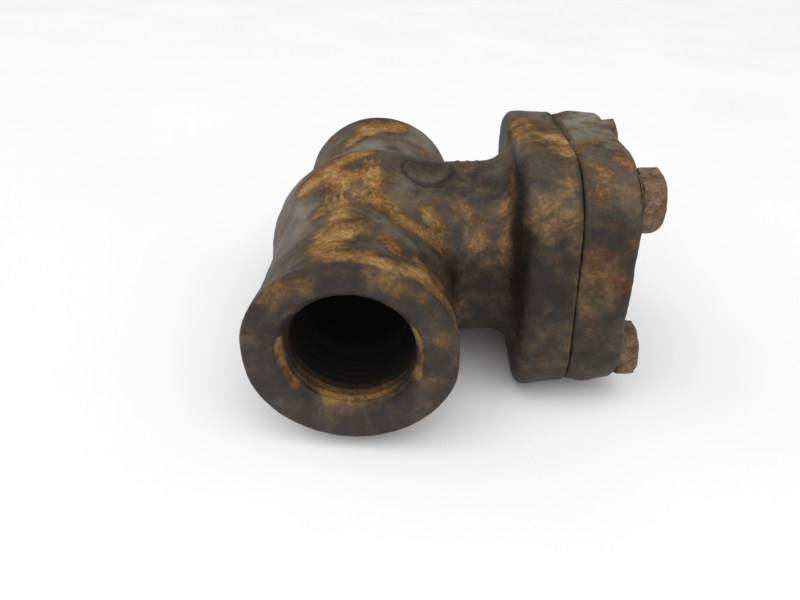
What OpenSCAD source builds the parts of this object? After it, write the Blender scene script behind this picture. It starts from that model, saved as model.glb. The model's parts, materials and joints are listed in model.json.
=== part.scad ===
// Bimetallic thermostatic steam trap: an in-line body with a threaded inlet and
// outlet on one run, and a side neck closed by a square cover on four bolts.
// The origin is the centre of the inlet face. +Y runs from inlet to outlet,
// +X runs along the neck towards the cover, and +Z is up. Sizes are in mm.

/* [Run] */
// Outside diameter of the pipe ends
run_od = 48.4; // [46:0.1:58.2]
// Length of the run, face to face
run_len = 106.5; // [88.5:0.5:130]
// Thread bore of the pipe ends, at the thread's crests
tap_d = 29.7; // [24:0.1:36]
// Length of the thread bore
tap_len = 20; // [16:0.5:21]
// Bore behind the thread
core_d = 26; // [20:0.5:28]
// How far the middle of the run swells over the pipe ends, on the radius
bulge_rise = 4; // [1:0.1:6]

/* [Passages] */
// Diameter of the slanted passage from the inlet to the chamber
port_d = 11; // [8:0.5:12]
// Angle of that passage from the run
port_angle = 58; // [55:1:62]
// Diameter of the passage from under the seat to the outlet
drain_d = 13; // [10:0.5:14]
// Diameter of the pocket under the seat
pocket_d = 15; // [13:0.5:18]
// Metal left between the chamber and the bores of the run
web_t = 5.2; // [4:0.1:7]

/* [Neck and flange] */
// Wall of the neck round the chamber
neck_wall = 7; // [4:0.1:9]
// Thickness of the flange
flange_t = 13.5; // [12:0.1:17]
// From a bolt's centre to the flange's edge
flange_edge = 12.2; // [9.5:0.1:15]
// Corner radius of the flange and the cover
corner_r = 17.5; // [10:0.5:21]
// Fillet between the neck and the flange
neck_fillet = 3; // [1:0.5:5]

/* [Cover] */
// Thickness of the cover
cover_t = 12.8; // [9.5:0.1:15]
// How much smaller than the flange the cover is, on each side
cover_inset = 1; // [0:0.1:3]
// Gap left between the flange and the cover
face_gap = 0.8; // [0.6:0.05:1.2]
// Depth of the gasket recess in the flange
recess_h = 1.6; // [1.2:0.1:2.2]
// Depth of the hollow in the cover
hollow_h = 5; // [3:0.5:6]

/* [Bolts] */
// Thread diameter of the cover bolts
bolt_d = 9.5; // [8:0.1:11.4]
// Across the flats of a bolt head
head_af = 14.3; // [13:0.1:17]
// Height of a bolt head
head_h = 5.6; // [5:0.1:8]
// Height of the round face under a bolt head
collar_h = 0.4; // [0.3:0.1:1]
// How far a bolt reaches into the flange
bolt_grip = 10; // [8:0.5:11]
// Metal between the gasket recess and a bolt hole
bolt_web = 3.8; // [2.5:0.1:6]

/* [Gasket] */
// Thickness of the gasket
gasket_t = 1.4; // [1.2:0.05:1.6]
// Width of the wound part
winding_w = 2.4; // [1.8:0.1:3]
// Width of the solid outer ring
outer_ring_w = 1.3; // [1:0.1:2]

/* [Seat] */
// Height of the chamber floor over the run's axis
floor_x = 14; // [13:0.5:17]
// Thickness of the floor that the seat screws into
floor_t = 9; // [7.5:0.5:10.5]
// Thread diameter of the seat
seat_d = 16; // [14:0.5:19]
// Gap between the seat's corners and the strainer's bottom ring
seat_ring_gap = 0.7; // [0.3:0.1:1.5]
// Height of the seat's hexagon
seat_h = 4; // [3.5:0.5:6]
// Thickness of the seat gasket
seat_gasket_t = 1; // [0.6:0.1:1.5]
// Diameter of the orifice
orifice_d = 6; // [5:0.1:7.2]

/* [Valve] */
// Diameter of the valve stem
stem_d = 4; // [3.4:0.1:4.8]
// Diameter of the valve plug
plug_d = 8.8; // [8.4:0.1:10.6]
// Length of the valve plug below its cone
plug_len = 6.5; // [5.5:0.1:7.8]
// Travel of the valve from cold to shut
travel = 2.5; // [2:0.1:3]
// Diameter of the pin through the plug
pin_d = 1.6; // [1.2:0.1:2]

/* [Bimetal stack] */
// Diameter of a bimetal disc
disc_d = 24; // [20:0.1:28.8]
// Thickness of a bimetal disc
disc_t = 0.75; // [0.6:0.01:0.9]
// Thickness of the three plain washers on the stem
washer_t = 1.2; // [1:0.1:1.5]
// Height of the overload spring
spring_h = 9; // [8:0.5:11]
// Wire diameter of the overload spring
wire_d = 1; // [0.8:0.05:1.2]
// Mean diameter of the overload spring's coil
coil_d = 8; // [7:0.1:9.6]
// Across the flats of the two stem nuts
nut_af = 7; // [6.5:0.1:9]
// Height of the adjusting nut
nut_h = 3; // [2.4:0.1:3.6]
// Height of the lock nut
lock_h = 2; // [1.6:0.1:2.6]

/* [Strainer] */
// Gap between the discs and the screen
screen_gap = 2.2; // [1.8:0.1:3.5]
// Thickness of the screen's sheet
screen_t = 0.8; // [0.5:0.05:1]
// Diameter of the screen's holes
screen_hole_d = 2.4; // [1.6:0.1:2.8]
// Gap between the screen and the chamber's wall
chamber_gap = 2.5; // [2:0.1:4]
// Thickness of the screen's end rings
screen_ring_t = 1.5; // [1:0.1:2]

/* [Hidden] */
// Clearances: screwed and pressed parts, sliding holes, discs, bolts, ends
fit_gap = 0.03;
slide_gap = 0.2;
disc_gap = 0.05;
bolt_gap = 0.5;
seal_gap = 0.1;
end_gap = 0.6;
// Two discs make a pair, and eight pairs make the stack
disc_pairs = 8;
stem_tail = 1.5;
cut = 1;

run_r = run_od / 2;
bulge_r = run_r + bulge_rise;
mid_y = run_len / 2;

// Sizes across the neck, from the discs outwards
screen_ir = disc_d / 2 + screen_gap;
screen_or = screen_ir + screen_t;
screen_ring_ir = screen_ir - screen_t;
seat_af = 2 * cos(30) * (screen_ring_ir - seat_ring_gap);
chamber_r = screen_or + chamber_gap;
neck_r = chamber_r + neck_wall;
winding_ir = chamber_r + 0.6;
winding_or = winding_ir + winding_w;
gasket_or = winding_or + outer_ring_w;
recess_r = gasket_or + seal_gap;
bolt_hole_r = (bolt_d + bolt_gap) / 2;
bolt_offset = (recess_r + bolt_web + bolt_hole_r) / sqrt(2);
flange_half = bolt_offset + flange_edge;
cover_half = flange_half - cover_inset;

// Places along the neck, from the floor outwards
seat_low_x = floor_x - floor_t;
seat_x = floor_x + seat_gasket_t;
seat_top_x = seat_x + seat_h;
stack_x = seat_top_x + washer_t;
disc_pitch = disc_t + disc_gap;
pair_h = 2 * disc_pitch;
top_washer_x = stack_x + disc_pairs * pair_h;
spring_x = top_washer_x + washer_t;
cap_x = spring_x + spring_h;
nut_x = cap_x + washer_t;
lock_x = nut_x + nut_h;
stem_top_x = lock_x + lock_h + stem_tail;
joint_x = stem_top_x + travel + end_gap;
flange_x = joint_x - flange_t;
cover_x = joint_x + face_gap;
cover_top_x = cover_x + cover_t;
spigot_h = recess_h + face_gap - gasket_t;
spigot_x = cover_x - spigot_h;
bolt_low_x = joint_x - bolt_grip;

// The seat's cone and the plug's cone are both 45 degrees
orifice_r = orifice_d / 2;
stem_r = stem_d / 2;
plug_r = plug_d / 2;
seat_cone_r = plug_r + seal_gap;
seat_cone_h = seat_cone_r - orifice_r;
plug_cone_h = plug_r - orifice_r + 4 * seal_gap;
plug_x = seat_low_x - travel + seal_gap - fit_gap * sqrt(2);
plug_low_x = plug_x - plug_len;
pin_x = plug_x - plug_len / 2;
pocket_low_x = plug_low_x - 5;
drain_x = pocket_low_x + drain_d / 2 + 4 * seal_gap;

$fn = 96;

// Stands its children on the neck's axis at x, with their +Z turned to +X
module on_neck(x) {
    translate([x, mid_y, 0]) rotate([0, 90, 0]) children();
}

// Stands its children on the run's axis at y, with their +Z turned to +Y
module on_run(y) {
    translate([0, y, 0]) rotate([-90, 0, 0]) children();
}

// A flat ring from z = 0 up
module ring(inner_r, outer_r, h) {
    difference() {
        cylinder(r = outer_r, h = h);
        translate([0, 0, -cut]) cylinder(r = inner_r, h = h + 2 * cut);
    }
}

// A hexagonal prism, measured across its flats
module hexagon(af, h) {
    cylinder(d = af / cos(30), h = h, $fn = 6);
}

// A square plate with round corners, built from two bars and four discs
module rounded_plate(half, r, h) {
    translate([-half + r, -half, 0]) cube([2 * (half - r), 2 * half, h]);
    translate([-half, -half + r, 0]) cube([2 * half, 2 * (half - r), h]);
    for (sx = [-1, 1], sy = [-1, 1]) {
        translate([sx * (half - r), sy * (half - r), 0]) cylinder(r = r, h = h);
    }
}

// Repeats its children at the four bolts
module at_bolts() {
    for (sx = [-1, 1], sy = [-1, 1]) {
        translate([sx * bolt_offset, sy * bolt_offset, 0]) children();
    }
}

// Outside of the run: a straight barrel and the swelling in its middle
module run_outside() {
    on_run(0) cylinder(r = run_r, h = run_len);
    on_neck(0) sphere(r = bulge_r);
}

// Outside of the neck, with the hollow fillet that meets the flange
module neck_outside() {
    fillet_r = neck_r + neck_fillet;
    on_neck(0) rotate_extrude() difference() {
        square([fillet_r, flange_x + cut]);
        translate([neck_r, -cut]) square([fillet_r, flange_x - neck_fillet + cut]);
        translate([fillet_r, flange_x - neck_fillet]) circle(r = neck_fillet);
    }
}

// One end of the run: the thread bore and the narrower bore behind it
module end_bore() {
    translate([0, 0, -cut]) cylinder(d = tap_d, h = tap_len + cut);
    translate([0, 0, cut]) cylinder(d = core_d, h = mid_y - chamber_r - web_t - cut);
}

// The slanted passage from the inlet's bore up into the chamber
module inlet_port() {
    reach = chamber_r + web_t;
    translate([0, mid_y - reach - port_d / 2, 0])
        rotate([0, 0, -port_angle])
            rotate([-90, 0, 0])
                cylinder(d = port_d, h = (reach - screen_ir + port_d) / cos(port_angle));
}

module body() {
    color("#4b4138") difference() {
        union() {
            run_outside();
            neck_outside();
            on_neck(flange_x) rounded_plate(flange_half, corner_r, flange_t);
        }
        on_run(0) end_bore();
        translate([0, run_len, 0]) rotate([90, 0, 0]) end_bore();
        on_neck(floor_x) cylinder(r = chamber_r, h = joint_x);
        on_neck(joint_x - recess_h) cylinder(r = recess_r, h = recess_h + cut);
        on_neck(seat_low_x - cut) cylinder(r = seat_d / 2 + fit_gap, h = joint_x);
        on_neck(pocket_low_x) cylinder(d = pocket_d, h = seat_low_x - pocket_low_x);
        translate([drain_x, 0, 0]) on_run(mid_y)
            cylinder(d = drain_d, h = chamber_r + web_t + cut);
        inlet_port();
        on_neck(bolt_low_x - cut) at_bolts()
            cylinder(r = bolt_d / 2 + fit_gap, h = bolt_grip + 2 * cut);
    }
}

module cover() {
    color("#5d4a3b") difference() {
        union() {
            on_neck(cover_x) rounded_plate(cover_half, corner_r - cover_inset, cover_t);
            on_neck(spigot_x) cylinder(r = recess_r - seal_gap, h = spigot_h + cut);
        }
        on_neck(spigot_x - cut) cylinder(r = screen_or, h = hollow_h + spigot_h + cut);
        on_neck(cover_x - cut) at_bolts() cylinder(r = bolt_hole_r, h = cover_t + 2 * cut);
    }
}

module cover_bolts() {
    color("#6b4a3c") {
        on_neck(bolt_low_x) at_bolts()
            cylinder(d = bolt_d, h = cover_top_x - bolt_low_x + collar_h / 2);
        on_neck(cover_top_x) at_bolts() cylinder(d = head_af, h = collar_h + cut);
        on_neck(cover_top_x + collar_h) at_bolts() hexagon(head_af, head_h);
    }
}

module gasket_winding() {
    color("#8a8781") on_neck(joint_x - recess_h) ring(winding_ir, winding_or, gasket_t);
}

module gasket_outer_ring() {
    color("#9a9590") on_neck(joint_x - recess_h)
        ring(winding_or + fit_gap, gasket_or, gasket_t);
}

module valve_seat() {
    color("#9c9c98") difference() {
        union() {
            on_neck(seat_low_x) cylinder(d = seat_d, h = seat_x - seat_low_x + cut);
            on_neck(seat_x) hexagon(seat_af, seat_h);
        }
        on_neck(seat_low_x - cut) cylinder(r = orifice_r, h = joint_x);
        on_neck(seat_low_x) cylinder(r1 = seat_cone_r, r2 = orifice_r, h = seat_cone_h);
        on_neck(seat_low_x - cut) cylinder(r = seat_cone_r, h = cut);
        for (a = [30, 90, 150]) {
            on_neck(seat_x + seat_h / 2) rotate([90, 0, a])
                cylinder(d = seat_h / 2, h = 2 * seat_af, center = true);
        }
    }
}

module seat_gasket() {
    color("#a8642f") on_neck(floor_x)
        ring(seat_d / 2 + slide_gap, seat_af / 2, seat_gasket_t);
}

// Height of the screen between its two end rings
screen_x = floor_x + screen_ring_t;
screen_top_x = spigot_x - seal_gap - screen_ring_t;
hole_rows = floor((screen_top_x - screen_x) / (2 * screen_hole_d));
row_pitch = (screen_top_x - screen_x) / hole_rows;
holes_round = floor(PI * screen_or / screen_hole_d);

module strainer_screen() {
    color("#b0aea6") difference() {
        on_neck(screen_x) ring(screen_ir, screen_or, screen_top_x - screen_x);
        for (row = [0:hole_rows - 1], k = [0:holes_round - 1]) {
            on_neck(screen_x + (row + 0.5) * row_pitch)
                rotate([0, 90, (k + 0.5 * (row % 2)) * 360 / holes_round])
                    translate([0, 0, screen_ir - cut])
                        cylinder(d = screen_hole_d, h = screen_t + 2 * cut, $fn = 24);
        }
    }
}

// An end ring that holds the screen in the middle of the chamber
module screen_ring(x) {
    on_neck(x) ring(screen_ring_ir, chamber_r - seal_gap, screen_ring_t);
}

module screen_bottom_ring() {
    color("#a19d93") screen_ring(floor_x);
}

module screen_top_ring() {
    color("#a19d93") screen_ring(screen_top_x);
}

// A round washer that the stem passes through
module stem_washer(x, r) {
    on_neck(x) ring(stem_r + slide_gap, r, washer_t);
}

module stack_base_washer() {
    color("#a6a39a") on_neck(seat_top_x) ring(orifice_r, 0.8 * disc_d / 2, washer_t);
}

// One pair of bimetal discs, counted from the seat
module bimetal_pair(k) {
    color("#8f8a7c") for (d = [0, 1]) {
        on_neck(stack_x + (k - 1) * pair_h + disc_gap + d * disc_pitch)
            ring(stem_r + slide_gap, disc_d / 2, disc_t);
    }
}

module stack_top_washer() {
    color("#a6a39a") stem_washer(top_washer_x + disc_gap, 0.8 * disc_d / 2);
}

// The spring's wire: end turns lie close, and the turns between carry the load
spring_turns = 5;
spring_steps = 16;
wire_sides = 8;
wire_r = wire_d / 2;
end_rise = 1.15 * wire_d;
spring_span = spring_h - wire_d - 2 * disc_gap - fit_gap;
mid_rise = (spring_span - 2 * end_rise) / (spring_turns - 2);

// Height of the wire's centre after t turns
function wire_z(t) = wire_r + fit_gap + disc_gap + (t < 1 ? t * end_rise
    : t > spring_turns - 1 ? spring_span - (spring_turns - t) * end_rise
    : end_rise + (t - 1) * mid_rise);

// A point on the wire after t turns, at angle b round its section
function wire_point(t, b) = [
    (coil_d / 2 + wire_r * cos(b)) * cos(360 * t),
    (coil_d / 2 + wire_r * cos(b)) * sin(360 * t),
    wire_z(t) + wire_r * sin(b)];

module overload_spring() {
    rings = spring_turns * spring_steps;
    points = [for (i = [0:rings], s = [0:wire_sides - 1])
        wire_point(i / spring_steps, 360 * s / wire_sides)];
    sides = [for (i = [0:rings - 1], s = [0:wire_sides - 1])
        [i * wire_sides + s, i * wire_sides + (s + 1) % wire_sides,
            (i + 1) * wire_sides + (s + 1) % wire_sides, (i + 1) * wire_sides + s]];
    start = [for (s = [wire_sides - 1:-1:0]) s];
    finish = [for (s = [0:wire_sides - 1]) rings * wire_sides + s];
    color("#b3b2ab") on_neck(spring_x)
        polyhedron(points, concat([start], sides, [finish]));
}

module spring_cap() {
    color("#a6a39a") stem_washer(cap_x, (coil_d + wire_d) / 2 + 1);
}

module adjusting_nut() {
    color("#a5a299") difference() {
        on_neck(nut_x) hexagon(nut_af, nut_h - fit_gap);
        on_neck(nut_x - cut) cylinder(r = stem_r + fit_gap, h = nut_h + 2 * cut);
    }
}

module lock_nut() {
    color("#a5a299") difference() {
        on_neck(lock_x) rotate([0, 0, 12]) hexagon(nut_af, lock_h);
        on_neck(lock_x - cut) cylinder(r = stem_r + fit_gap, h = lock_h + 2 * cut);
    }
}

module valve_stem() {
    color("#bdbcb6") difference() {
        on_neck(plug_low_x) cylinder(r = stem_r, h = stem_top_x - plug_low_x);
        on_neck(pin_x) rotate([90, 0, 0])
            cylinder(r = pin_d / 2 + fit_gap, h = 2 * stem_d, center = true);
    }
}

module valve_plug() {
    color("#8d8f92") difference() {
        union() {
            on_neck(plug_low_x) cylinder(r = plug_r, h = plug_len);
            on_neck(plug_x) cylinder(r1 = plug_r, r2 = plug_r - plug_cone_h, h = plug_cone_h);
        }
        on_neck(plug_low_x - cut)
            cylinder(r = stem_r + fit_gap, h = plug_len + plug_cone_h + 2 * cut);
        on_neck(pin_x) rotate([90, 0, 0])
            cylinder(r = pin_d / 2 + fit_gap, h = 2 * plug_d, center = true);
    }
}

module plug_pin() {
    color("#c2c1bb") on_neck(pin_x) rotate([90, 0, 0])
        cylinder(d = pin_d, h = plug_d - 4 * seal_gap, center = true);
}

body();
cover();
cover_bolts();
gasket_winding();
gasket_outer_ring();
valve_seat();
seat_gasket();
strainer_screen();
screen_bottom_ring();
screen_top_ring();
stack_base_washer();
bimetal_pair(1);  // bimetal_pair_1
bimetal_pair(2);  // bimetal_pair_2
bimetal_pair(3);  // bimetal_pair_3
bimetal_pair(4);  // bimetal_pair_4
bimetal_pair(5);  // bimetal_pair_5
bimetal_pair(6);  // bimetal_pair_6
bimetal_pair(7);  // bimetal_pair_7
bimetal_pair(8);  // bimetal_pair_8
stack_top_washer();
overload_spring();
spring_cap();
adjusting_nut();
lock_nut();
valve_stem();
valve_plug();
plug_pin();
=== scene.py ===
# %% [markdown]
# # A rusted steam trap
#
# The object is a small steam trap made of forged steel: a run with threaded ends, a
# neck on its side, a square flange, and a cover held by four hexagon-head bolts.
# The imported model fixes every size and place. This lesson gives it its looks: the
# soft edges of a forging, the scale and the rust. All of them stay inside its box.

# %% Load the frame
import json
import math

import bmesh
import bpy
import numpy as np
from mathutils import Matrix, Vector

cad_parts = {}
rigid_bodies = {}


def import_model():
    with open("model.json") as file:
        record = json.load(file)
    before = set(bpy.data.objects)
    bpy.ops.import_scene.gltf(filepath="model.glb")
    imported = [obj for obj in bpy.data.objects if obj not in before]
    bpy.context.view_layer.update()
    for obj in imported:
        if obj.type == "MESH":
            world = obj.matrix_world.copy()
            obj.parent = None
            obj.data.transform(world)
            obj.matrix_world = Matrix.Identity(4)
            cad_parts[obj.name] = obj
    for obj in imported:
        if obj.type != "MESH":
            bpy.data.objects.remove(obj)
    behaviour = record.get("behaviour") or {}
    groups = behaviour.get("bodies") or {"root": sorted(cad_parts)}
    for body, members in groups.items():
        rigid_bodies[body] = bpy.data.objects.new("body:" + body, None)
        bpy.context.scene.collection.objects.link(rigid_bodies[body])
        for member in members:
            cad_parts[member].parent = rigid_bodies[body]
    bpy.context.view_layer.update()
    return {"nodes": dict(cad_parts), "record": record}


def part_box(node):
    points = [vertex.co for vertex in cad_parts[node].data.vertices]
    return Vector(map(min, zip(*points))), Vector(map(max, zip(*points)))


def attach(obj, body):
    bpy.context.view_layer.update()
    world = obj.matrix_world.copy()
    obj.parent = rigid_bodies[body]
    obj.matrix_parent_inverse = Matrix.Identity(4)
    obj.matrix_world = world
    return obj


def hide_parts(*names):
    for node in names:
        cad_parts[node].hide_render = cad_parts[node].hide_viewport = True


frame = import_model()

MM = 0.001


def new_object(name, data):
    """An object at the origin, in the scene."""
    made = bpy.data.objects.new(name, data)
    bpy.context.scene.collection.objects.link(made)
    return made


def box_mm(node):
    """Lowest and highest corner of a node, in millimetres."""
    low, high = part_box(node)
    return np.array(low) / MM, np.array(high) / MM


# %% [markdown]
# ## Sizes from the frame
#
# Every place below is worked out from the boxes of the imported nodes, so the looks
# follow the model if it is packed again with another size.

# %% Read the driving sizes
body_low, body_high = box_mm("body")
cover_low, cover_high = box_mm("cover")
bolts_low, bolts_high = box_mm("cover_bolts")
stem_low, stem_high = box_mm("valve_stem")
gasket_high = box_mm("gasket_outer_ring")[1]
screen_high = box_mm("strainer_screen")[1]
inlet = frame["record"]["mounts"][0]

# Sizes that no box gives, in mm
BULGE_RISE = 4.0
FLANGE_T = 13.5
CORNER_R = 17.5
FACE_GAP = 0.8
CHAMBER_GAP = 2.5
NECK_WALL = 7.0
WEB_T = 5.2
CORE_R = 13.0
RECESS_DEPTH = 1.6
RECESS_GAP = 0.1
BOLT_WEB = 3.8
BOLT_HOLE_R = 5.0

RUN_LEN = body_high[1]
MID_Y = RUN_LEN / 2
RUN_R = -body_low[0] - BULGE_RISE
JOINT_X = body_high[0]
FLANGE_X = JOINT_X - FLANGE_T
FLANGE_HALF = body_high[2]
COVER_X = JOINT_X + FACE_GAP
COVER_TOP_X = cover_high[0]
COVER_HALF = cover_high[2]
CHAMBER_R = screen_high[2] + CHAMBER_GAP
NECK_R = CHAMBER_R + NECK_WALL
FLOOR_X = box_mm("screen_bottom_ring")[0][0]
SEAT_LOW_X = box_mm("valve_seat")[0][0]
POCKET_X = box_mm("valve_plug")[0][0] - 5.0
CREST_R = inlet["dims"]["r_mm"]
TAP_LEN = inlet["dims"]["length_mm"]
CORE_LEN = MID_Y - CHAMBER_R - WEB_T
RECESS_R = gasket_high[2] + RECESS_GAP
BOLT_OFF = (RECESS_R + BOLT_WEB + BOLT_HOLE_R) / math.sqrt(2)
print("run", round(RUN_LEN, 2), "joint", round(JOINT_X, 2), "bolts at", round(BOLT_OFF, 2))

# %% [markdown]
# ## The camera
#
# The object is seen from above and a little to the left of the inlet, from so near
# that the inlet looks much larger than the outlet. The camera is placed by the point
# it looks at, its distance, and three angles.

# %% Place the camera
AIM = Vector((8.91, 44.33, -12.60)) * MM
DISTANCE = 179.1 * MM
TURN = math.radians(-4.22)
DOWN = math.radians(32.04)
ROLL = math.radians(-3.776)
LENS = 27.32

look = Vector((math.sin(TURN) * math.cos(DOWN), math.cos(TURN) * math.cos(DOWN), -math.sin(DOWN)))
level = Vector((math.cos(TURN), -math.sin(TURN), 0.0))
over = level.cross(look)
right = math.cos(ROLL) * level + math.sin(ROLL) * over
up = -math.sin(ROLL) * level + math.cos(ROLL) * over

camera = new_object("camera", bpy.data.cameras.new("camera"))
camera.data.lens = LENS
camera.data.sensor_width = 36.0
camera.data.clip_start = 0.005
place = Matrix((right, up, -look)).transposed().to_4x4()
place.translation = AIM - DISTANCE * look
camera.matrix_world = place
bpy.context.scene.camera = camera
print("camera at mm", np.round(np.array(place.translation) / MM, 1))

# %% [markdown]
# ## Forgings as distance fields
#
# A forging has no sharp inside corners: the neck flows into the run and the flange
# in fillets. A distance field gives them: for every point of space it says how far
# the surface is, and two fields blend where they are about equal, which is what a
# fillet is. These helpers are the whole kit: a soft union, a soft cut, the distance
# to a square with round corners, and two curves.


# %% Distance helpers
def soft_min(a, b, k):
    """Union of two fields. Where they differ by less than k, a parabola joins them."""
    h = np.maximum(k - np.abs(a - b), 0.0) / k
    return np.minimum(a, b) - h * h * k * 0.25


def soft_max(a, b, k):
    """Intersection of two fields, the mirror image of soft_min. It rounds an edge."""
    return -soft_min(-a, -b, k)


def round_square(p, q, half, corner):
    """Distance to a square of the given half width whose corners have a radius."""
    px = np.abs(p) - (half - corner)
    qx = np.abs(q) - (half - corner)
    outside = np.hypot(np.maximum(px, 0.0), np.maximum(qx, 0.0))
    return outside + np.minimum(np.maximum(px, qx), 0.0) - corner


def ramp(x, low, high):
    """0 below low, 1 above high, and a smooth S between them."""
    t = np.clip((x - low) / (high - low), 0.0, 1.0)
    return t * t * (3.0 - 2.0 * t)


def zigzag(turns):
    """1 at each whole turn, 0 halfway between, and straight lines from one to the other."""
    return np.abs(2.0 * (turns - np.floor(turns)) - 1.0)


# %% [markdown]
# ## The body's field
#
# The outside is a union of four shapes: the run, whose ends flare a little and have
# a flat on each side where the forging's flash was trimmed; the swelling in its
# middle; the neck; and the flange, which narrows towards the joint because a forging
# needs draft to leave its die. The inside is cut away: two threaded mouths, the
# chamber, the passages and the bolt holes. The taper thread is a zigzag in the
# bore's radius that moves one pitch along the bore for each turn.

# %% Field of the body
THREAD_PITCH = 2.209
THREAD_DEPTH = 0.8
MOUTH_R = 17.3
MOUTH_SLOPE = 0.85
# Half distance between the flats where the flash was trimmed
FLASH_FLAT = 23.9
# Half axes of the egg that swells the run
BULGE_AXES = (27.2, 26.5, 28.0)
FLANGE_DRAFT = 0.9
SEAT_HOLE_R = 8.03
POCKET_R = 7.5
DRAIN_R = 6.5
PORT_R = 5.5
PORT_LEN = 36.0
PORT_ANGLE = math.radians(58.0)
BOLT_THREAD_R = 4.78
BOLT_GRIP = 10.0


def thread_radius(along, angle):
    """Radius of a taper thread: a clipped zigzag, one pitch per turn, 1 in 16 taper."""
    tooth = zigzag(along / THREAD_PITCH - angle / (2 * math.pi))
    tooth = np.clip(tooth * 1.25 - 0.125, 0.0, 1.0)
    worn = 1.0 - 0.35 * ramp(along, TAP_LEN - 6.0, TAP_LEN)
    return CREST_R + THREAD_DEPTH * tooth * worn - (along - 8.0) / 32.0


def body_outside(x, y, z):
    """Soft union of run, swelling, neck and flange."""
    from_end = np.minimum(y, RUN_LEN - y)
    run_axis = np.hypot(x, 1.03 * z)
    flare = 0.6 * ramp(14.0 - from_end, 0.0, 14.0) + 0.3
    run = soft_max(run_axis - RUN_R + 0.05 - flare, np.abs(x) - FLASH_FLAT - flare, 1.2)
    run = soft_max(run, -from_end, 1.1)
    a, b, c = BULGE_AXES
    bulge = (np.sqrt((x / a) ** 2 + ((y - MID_Y) / b) ** 2 + (z / c) ** 2) - 1.0) * 27.5
    neck_axis = np.hypot(y - MID_Y, z)
    neck = np.maximum(np.maximum(neck_axis - NECK_R, -x), x - FLANGE_X - 4.0)
    half = FLANGE_HALF - FLANGE_DRAFT * ramp(x, FLANGE_X + 1.0, JOINT_X + 2.0)
    flange = round_square(y - MID_Y, z, half, CORNER_R)
    flange = soft_max(flange, x - JOINT_X, 1.0)
    flange = soft_max(flange, FLANGE_X - x, 4.0)
    shape = soft_min(run, bulge, 6.5)
    shape = soft_min(shape, neck, 6.0)
    return soft_min(shape, flange, 7.0)


def body_hollows(x, y, z):
    """Union of everything that is cut away: mouths, chamber, passages, bolt holes."""
    from_end = np.minimum(y, RUN_LEN - y)
    run_axis = np.hypot(x, z)
    neck_axis = np.hypot(y - MID_Y, z)
    tapped = np.maximum(run_axis - thread_radius(from_end, np.arctan2(z, x)), from_end - TAP_LEN)
    core = np.maximum(run_axis - CORE_R, from_end - CORE_LEN)
    mouth = (run_axis + MOUTH_SLOPE * from_end - MOUTH_R) / math.hypot(1.0, MOUTH_SLOPE)
    chamber = np.maximum(neck_axis - CHAMBER_R, FLOOR_X - x)
    recess = np.maximum(neck_axis - RECESS_R, JOINT_X - RECESS_DEPTH - x)
    seat_hole = np.maximum(neck_axis - SEAT_HOLE_R, SEAT_LOW_X - 1.0 - x)
    pocket = np.maximum(np.maximum(neck_axis - POCKET_R, POCKET_X - x), x - SEAT_LOW_X)
    drain = np.hypot(x - POCKET_X - DRAIN_R - 0.4, z) - DRAIN_R
    drain = np.maximum(np.maximum(drain, MID_Y - y), y - MID_Y - CHAMBER_R - WEB_T - 1.0)
    from_port = y - MID_Y + CHAMBER_R + WEB_T + PORT_R
    along = x * math.sin(PORT_ANGLE) + from_port * math.cos(PORT_ANGLE)
    across = x * math.cos(PORT_ANGLE) - from_port * math.sin(PORT_ANGLE)
    port = np.maximum(np.maximum(np.hypot(across, z) - PORT_R, -along), along - PORT_LEN)
    holes = np.hypot(np.abs(y - MID_Y) - BOLT_OFF, np.abs(z) - BOLT_OFF) - BOLT_THREAD_R
    holes = np.maximum(holes, JOINT_X - BOLT_GRIP - x)
    hollow = np.minimum(np.minimum(tapped, core), mouth)
    for cut in (chamber, recess, seat_hole, pocket, drain, port, holes):
        hollow = np.minimum(hollow, cut)
    return hollow


def body_field(x, y, z):
    """Outside less hollows, with every cut edge broken by about half a millimetre."""
    return soft_max(body_outside(x, y, z), -body_hollows(x, y, z), 0.7)


# %% [markdown]
# ## The cover's field
#
# The cover is a thick square plate, forged too: it is widest a third of the way up,
# and its outer edge is well rounded. Under it are the round spigot that presses the
# gasket, and a shallow hollow.


# %% Field of the cover
# Rust and gasket paste fill most of the gap, so little of it shows
SEAM_GAP = 0.15
COVER_CORNER_R = 16.2


def cover_field(x, y, z):
    """A square plate with draft, a spigot, a hollow and four bolt holes."""
    neck_axis = np.hypot(y - MID_Y, z)
    draft = 0.7 * ramp(COVER_X + 4.5 - x, 0.0, 5.0) + 0.6 * ramp(x, COVER_X + 4.0, COVER_TOP_X)
    plate = round_square(y - MID_Y, z, COVER_HALF + 0.1 - draft, COVER_CORNER_R)
    plate = soft_max(plate, x - COVER_TOP_X, 2.0)
    plate = soft_max(plate, JOINT_X + SEAM_GAP - x, 1.0)
    spigot = np.maximum(np.maximum(neck_axis - RECESS_R + 0.1, cover_low[0] - x), x - COVER_X - 3.0)
    hollow = np.maximum(neck_axis - screen_high[2], x - COVER_X - 4.0)
    holes = np.hypot(np.abs(y - MID_Y) - BOLT_OFF, np.abs(z) - BOLT_OFF) - BOLT_HOLE_R
    return soft_max(np.minimum(plate, spigot), -np.minimum(hollow, holes), 0.5)


# %% [markdown]
# ## From field to mesh
#
# A surface net turns a field into a mesh. The field is sampled on a lattice, each
# cell that the surface passes through gets one vertex, at the mean of the points
# where the surface crosses the cell's edges, and each lattice edge that is crossed
# gets a quad between the four cells round it. Two Newton steps then put every vertex
# on the true surface.

# %% Surface net
CORNERS = np.array([(i, j, k) for i in (0, 1) for j in (0, 1) for k in (0, 1)])
EDGES = [(a, b) for a in range(8) for b in range(a + 1, 8)
         if np.abs(CORNERS[a] - CORNERS[b]).sum() == 1]


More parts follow.
